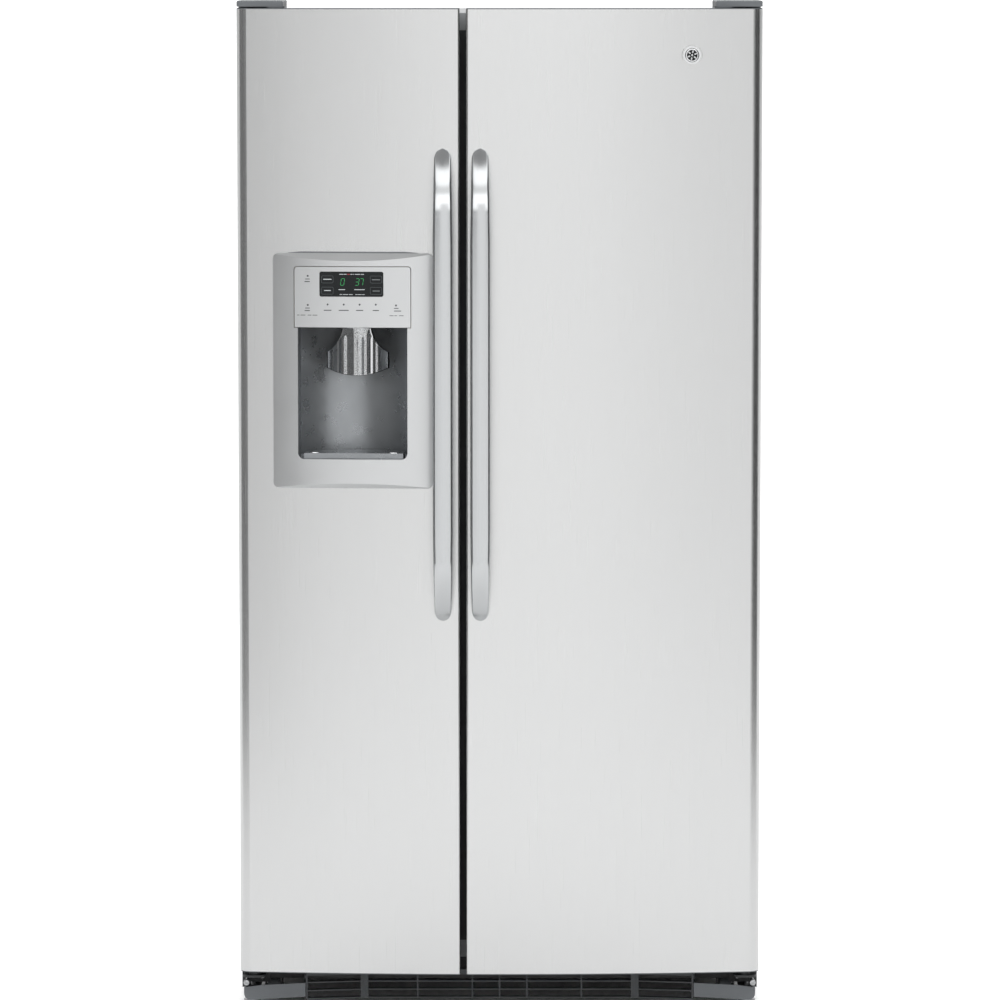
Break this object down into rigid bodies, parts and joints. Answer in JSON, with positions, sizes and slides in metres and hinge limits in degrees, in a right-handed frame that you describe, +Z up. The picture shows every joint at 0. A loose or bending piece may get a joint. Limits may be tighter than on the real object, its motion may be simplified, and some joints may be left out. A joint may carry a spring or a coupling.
{
  "type": "side by side refrigerator",
  "caption": "Tall side by side refrigerator with a bowed steel front, paired bar handles, and an ice and water dispenser in the freezer door.",
  "frame": {"origin": "on the floor under the middle of the overall box", "axes": "+Z up, the doors face -Y, +X to the right as seen from the front"},
  "size_m": [0.908, 0.89, 1.765],
  "materials": {
    "case_paint": "textured satin grey paint",
    "galvanised": "galvanised sheet",
    "foam": "rigid polyurethane foam",
    "liner_white": "semi-gloss vacuum-formed plastic",
    "black_steel": "satin black enamel",
    "grey_plastic": "moulded grey plastic",
    "zinc": "zinc plated",
    "black_plastic": "moulded black plastic",
    "fin_aluminium": "bare fins",
    "wire": "white coated steel wire",
    "shelf_glass": "tempered clear",
    "lens": "frosted",
    "clear_plastic": "clear",
    "stainless": "vertically brushed",
    "seal": "soft grey vinyl",
    "handle_steel": "satin, brushed along its length",
    "silver_plastic": "silver lacquer",
    "dark_silver": "dark silver lacquer",
    "black_gloss": "gloss black window",
    "bright_chrome": "polished"
  },
  "bodies": {
    "cabinet": {"cabinet_shell": "case_paint", "rear_panel": "galvanised", "insulation": "foam", "freezer_liner": "liner_white", "fresh_food_liner": "liner_white", "base_frame": "black_steel", "base_grille": "grey_plastic", "leg_covers": "grey_plastic", "door_hinges": "zinc", "hinge_covers": "grey_plastic", "machine_cover": "black_plastic", "compressor": "black_steel", "condenser_coil": "black_steel", "water_parts": "liner_white", "evaporator": "fin_aluminium", "air_ducts": "liner_white", "motors": "black_plastic", "icemaker": "liner_white", "freezer_shelves": "wire", "fresh_shelf_frames": "liner_white", "fresh_shelf_glass": "shelf_glass", "light_lenses": "lens"},
    "freezer_door": {"freezer_door_skin": "stainless", "freezer_door_foam": "foam", "freezer_door_liner": "liner_white", "freezer_door_caps": "grey_plastic", "freezer_door_gasket": "seal", "freezer_handle": "handle_steel", "freezer_door_bins": "clear_plastic", "dispenser_bezel": "silver_plastic", "dispenser_housing": "dark_silver", "control_panel": "silver_plastic", "display_window": "black_gloss", "ice_chute": "black_plastic"},
    "fresh_food_door": {"fresh_door_skin": "stainless", "fresh_door_foam": "foam", "fresh_door_liner": "liner_white", "fresh_door_caps": "grey_plastic", "fresh_door_gasket": "seal", "fresh_handle": "handle_steel", "fresh_door_bins": "clear_plastic", "badge": "bright_chrome"},
    "icemaker_arm": {"icemaker_arm": "wire"},
    "evaporator_fan": {"evaporator_fan": "black_plastic"},
    "condenser_fan": {"condenser_fan": "black_plastic"},
    "front_rollers": {"front_rollers": "grey_plastic"},
    "rear_rollers": {"rear_rollers": "grey_plastic"},
    "leveling_leg_left": {"leveling_leg_left": "zinc"},
    "leveling_leg_right": {"leveling_leg_right": "zinc"},
    "crisper_lower": {"crisper_lower": "clear_plastic"},
    "crisper_upper": {"crisper_upper": "clear_plastic"},
    "meat_drawer": {"meat_drawer": "clear_plastic"},
    "freezer_basket_lower": {"freezer_basket_lower": "liner_white"},
    "freezer_basket_upper": {"freezer_basket_upper": "liner_white"},
    "ice_bucket": {"ice_bucket": "clear_plastic"},
    "ice_auger": {"ice_auger": "wire"},
    "dispenser_cradle": {"dispenser_cradle": "bright_chrome"},
    "duct_flap": {"duct_flap": "black_plastic"},
    "drip_tray": {"drip_tray": "dark_silver"},
    "dairy_cover": {"dairy_cover": "clear_plastic"}
  },
  "joints": [
    {"name": "freezer_door_hinge", "type": "hinge", "parent": "cabinet", "child": "freezer_door", "pos_m": [-0.43, -0.33, 0.9], "axis": [0, 0, -1], "range_deg": [0, 125]},
    {"name": "fresh_food_door_hinge", "type": "hinge", "parent": "cabinet", "child": "fresh_food_door", "pos_m": [0.43, -0.33, 0.9], "axis": [0, 0, 1], "range_deg": [0, 125]},
    {"name": "cradle_push", "type": "hinge", "parent": "freezer_door", "child": "dispenser_cradle", "pos_m": [-0.25015, -0.33242, 1.22], "axis": [0.9976, -0.0686, 0], "range_deg": [0, 11], "stiffness_Nm_per_rad": 0.25, "springref_deg": -6.88},
    {"name": "duct_flap_swing", "type": "hinge", "parent": "freezer_door", "child": "duct_flap", "pos_m": [-0.25097, -0.34439, 1.3095], "axis": [-0.9976, 0.0686, 0], "range_deg": [0, 55]},
    {"name": "drip_tray_slide", "type": "slide", "parent": "freezer_door", "child": "drip_tray", "axis": [-0.0686, -0.9976, 0], "range_m": [0, 0.07]},
    {"name": "dairy_cover_lift", "type": "hinge", "parent": "fresh_food_door", "child": "dairy_cover", "pos_m": [0.2, -0.1763, 1.634], "axis": [1, 0, 0], "range_deg": [0, 80]},
    {"name": "crisper_lower_slide", "type": "slide", "parent": "cabinet", "child": "crisper_lower", "axis": [0, -1, 0], "range_m": [0, 0.04]},
    {"name": "crisper_upper_slide", "type": "slide", "parent": "cabinet", "child": "crisper_upper", "axis": [0, -1, 0], "range_m": [0, 0.04]},
    {"name": "meat_drawer_slide", "type": "slide", "parent": "cabinet", "child": "meat_drawer", "axis": [0, -1, 0], "range_m": [0, 0.04]},
    {"name": "freezer_basket_lower_slide", "type": "slide", "parent": "cabinet", "child": "freezer_basket_lower", "axis": [0, -1, 0], "range_m": [0, 0.04]},
    {"name": "freezer_basket_upper_slide", "type": "slide", "parent": "cabinet", "child": "freezer_basket_upper", "axis": [0, -1, 0], "range_m": [0, 0.04]},
    {"name": "ice_bucket_lift", "type": "slide", "parent": "cabinet", "child": "ice_bucket", "axis": [0, 0, 1], "range_m": [0, 0.025]},
    {"name": "ice_auger_turn", "type": "hinge", "parent": "ice_bucket", "child": "ice_auger", "pos_m": [-0.246, 0.1, 1.326], "axis": [0, 1, 0], "continuous": true},
    {"name": "icemaker_arm_swing", "type": "hinge", "parent": "cabinet", "child": "icemaker_arm", "pos_m": [-0.186, 0.1, 1.51], "axis": [0, -1, 0], "range_deg": [0, 60]},
    {"name": "evaporator_fan_spin", "type": "hinge", "parent": "cabinet", "child": "evaporator_fan", "pos_m": [-0.246, 0.352, 1.01], "axis": [0, 1, 0], "continuous": true},
    {"name": "condenser_fan_spin", "type": "hinge", "parent": "cabinet", "child": "condenser_fan", "pos_m": [-0.12, 0.322, 0.145], "axis": [1, 0, 0], "continuous": true},
    {"name": "front_roller_spin", "type": "hinge", "parent": "cabinet", "child": "front_rollers", "pos_m": [0, -0.225, 0.022], "axis": [1, 0, 0], "continuous": true},
    {"name": "rear_roller_spin", "type": "hinge", "parent": "cabinet", "child": "rear_rollers", "pos_m": [0, 0.4, 0.022], "axis": [1, 0, 0], "continuous": true},
    {"name": "leveling_leg_left_turn", "type": "hinge", "parent": "cabinet", "child": "leveling_leg_left", "pos_m": [-0.437, -0.268, 0.04], "axis": [0, 0, 1], "continuous": true},
    {"name": "leveling_leg_right_turn", "type": "hinge", "parent": "cabinet", "child": "leveling_leg_right", "pos_m": [0.437, -0.268, 0.04], "axis": [0, 0, 1], "continuous": true}
  ],
  "couplings": [
    {"joint": "duct_flap_swing", "follows": "cradle_push", "ratio": 5}
  ]
}
